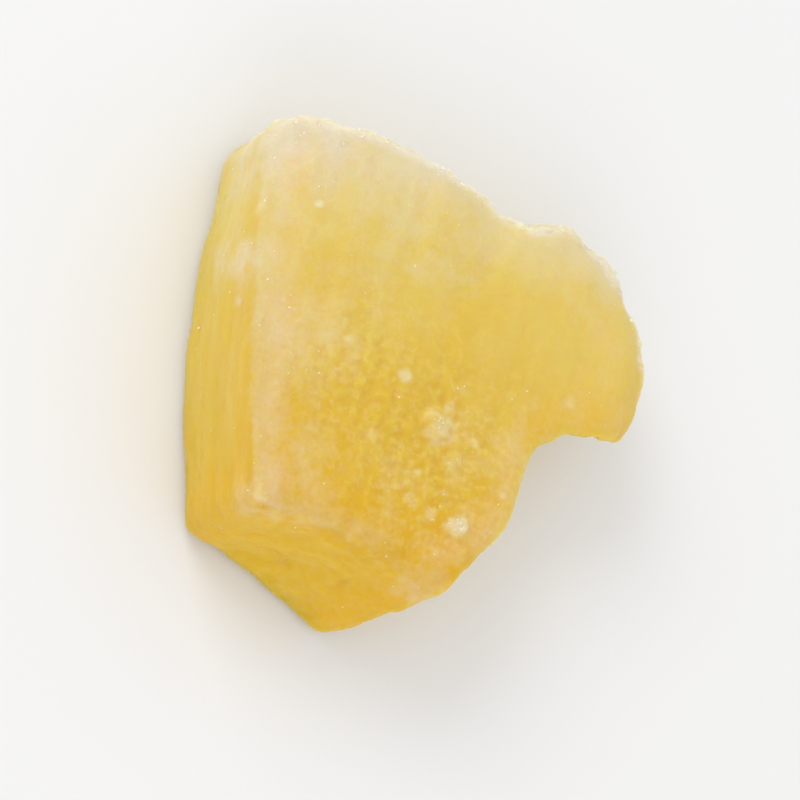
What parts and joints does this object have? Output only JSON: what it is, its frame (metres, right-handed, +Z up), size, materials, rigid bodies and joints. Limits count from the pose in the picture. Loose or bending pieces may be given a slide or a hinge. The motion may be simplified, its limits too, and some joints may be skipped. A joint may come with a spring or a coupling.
{
  "type": "dried pineapple wedge",
  "caption": "Thick wedge of candied dried pineapple with a scalloped rim, knife-cut sides and a slanting core end, dusted with sugar.",
  "frame": {"origin": "centre of the bounding box's footprint, on the surface the wedge lies on", "axes": "+Z up through the wedge's thickness, out of the broad face that the picture shows; +Y from the core end to the scalloped rim"},
  "size_m": [0.0318, 0.032, 0.0116],
  "materials": {
    "dried_fruit": "waxy translucent candied fruit, pale golden, frosted whitish along its edges",
    "sugar": "crusted white sugar, in fine grains and a few lumps"
  },
  "bodies": {
    "root": {"pineapple_wedge": "dried_fruit"}
  },
  "joints": []
}
